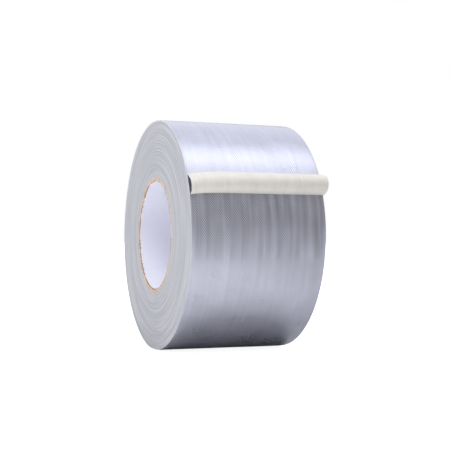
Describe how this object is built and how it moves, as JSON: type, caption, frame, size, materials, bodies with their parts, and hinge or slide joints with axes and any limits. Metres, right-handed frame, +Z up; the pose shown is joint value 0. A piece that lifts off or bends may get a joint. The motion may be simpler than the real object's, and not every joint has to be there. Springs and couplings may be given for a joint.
{
  "type": "duct tape roll",
  "caption": "Wide roll of silver cloth duct tape wound on a paperboard core, with its free end curled back on itself.",
  "frame": {"origin": "middle of the core's bore, half way across the roll's width", "axes": "+Y along the bore, away from the front face; +X out of the tread on the curled end's side; +Z up, the roll standing on its tread"},
  "size_m": [0.1653, 0.096, 0.1637],
  "materials": {
    "core_paper": "matte",
    "core_board": "matte",
    "tape_edge": "matte",
    "tape_film": "satin",
    "tape_cloth": "matte",
    "tape_adhesive": "satin"
  },
  "bodies": {
    "roll": {"core_liner": "core_paper", "core_ply_1": "core_board", "core_ply_2": "core_board", "core_ply_3": "core_board", "core_ply_4": "core_board", "core_ply_5": "core_board", "core_ply_6": "core_board", "wound_tape": "tape_edge", "outer_turn_film": "tape_film", "outer_turn_cloth": "tape_cloth", "outer_turn_adhesive": "tape_adhesive"},
    "tail_1": {"tail_film_1": "tape_film", "tail_cloth_1": "tape_cloth", "tail_adhesive_1": "tape_adhesive"},
    "tail_2": {"tail_film_2": "tape_film", "tail_cloth_2": "tape_cloth", "tail_adhesive_2": "tape_adhesive"},
    "tail_3": {"tail_film_3": "tape_film", "tail_cloth_3": "tape_cloth", "tail_adhesive_3": "tape_adhesive"},
    "tail_4": {"tail_film_4": "tape_film", "tail_cloth_4": "tape_cloth", "tail_adhesive_4": "tape_adhesive"},
    "tail_5": {"tail_film_5": "tape_film", "tail_cloth_5": "tape_cloth", "tail_adhesive_5": "tape_adhesive"},
    "tail_6": {"tail_film_6": "tape_film", "tail_cloth_6": "tape_cloth", "tail_adhesive_6": "tape_adhesive"},
    "tail_7": {"tail_film_7": "tape_film", "tail_cloth_7": "tape_cloth", "tail_adhesive_7": "tape_adhesive"}
  },
  "joints": [
    {"name": "tail_lift", "type": "hinge", "parent": "roll", "child": "tail_1", "pos_m": [0.0775, 0, 0.02883], "axis": [0, 1, 0], "range_deg": [0, 88]},
    {"name": "tail_uncurl_1", "type": "hinge", "parent": "tail_1", "child": "tail_2", "pos_m": [0.07939, 0, 0.02949], "axis": [0, 1, 0], "range_deg": [0, 15]},
    {"name": "tail_uncurl_2", "type": "hinge", "parent": "tail_2", "child": "tail_3", "pos_m": [0.08196, 0, 0.03123], "axis": [0, 1, 0], "range_deg": [0, 30]},
    {"name": "tail_uncurl_3", "type": "hinge", "parent": "tail_3", "child": "tail_4", "pos_m": [0.08332, 0, 0.03402], "axis": [0, 1, 0], "range_deg": [0, 30]},
    {"name": "tail_uncurl_4", "type": "hinge", "parent": "tail_4", "child": "tail_5", "pos_m": [0.0831, 0, 0.03712], "axis": [0, 1, 0], "range_deg": [0, 30]},
    {"name": "tail_uncurl_5", "type": "hinge", "parent": "tail_5", "child": "tail_6", "pos_m": [0.08136, 0, 0.03969], "axis": [0, 1, 0], "range_deg": [0, 30]},
    {"name": "tail_uncurl_6", "type": "hinge", "parent": "tail_6", "child": "tail_7", "pos_m": [0.07856, 0, 0.04105], "axis": [0, 1, 0], "range_deg": [0, 15]}
  ],
  "couplings": [
    {"joint": "tail_uncurl_1", "follows": "tail_uncurl_2", "ratio": 0.5},
    {"joint": "tail_uncurl_3", "follows": "tail_uncurl_2", "ratio": 1},
    {"joint": "tail_uncurl_4", "follows": "tail_uncurl_2", "ratio": 1},
    {"joint": "tail_uncurl_5", "follows": "tail_uncurl_2", "ratio": 1},
    {"joint": "tail_uncurl_6", "follows": "tail_uncurl_2", "ratio": 0.5}
  ]
}
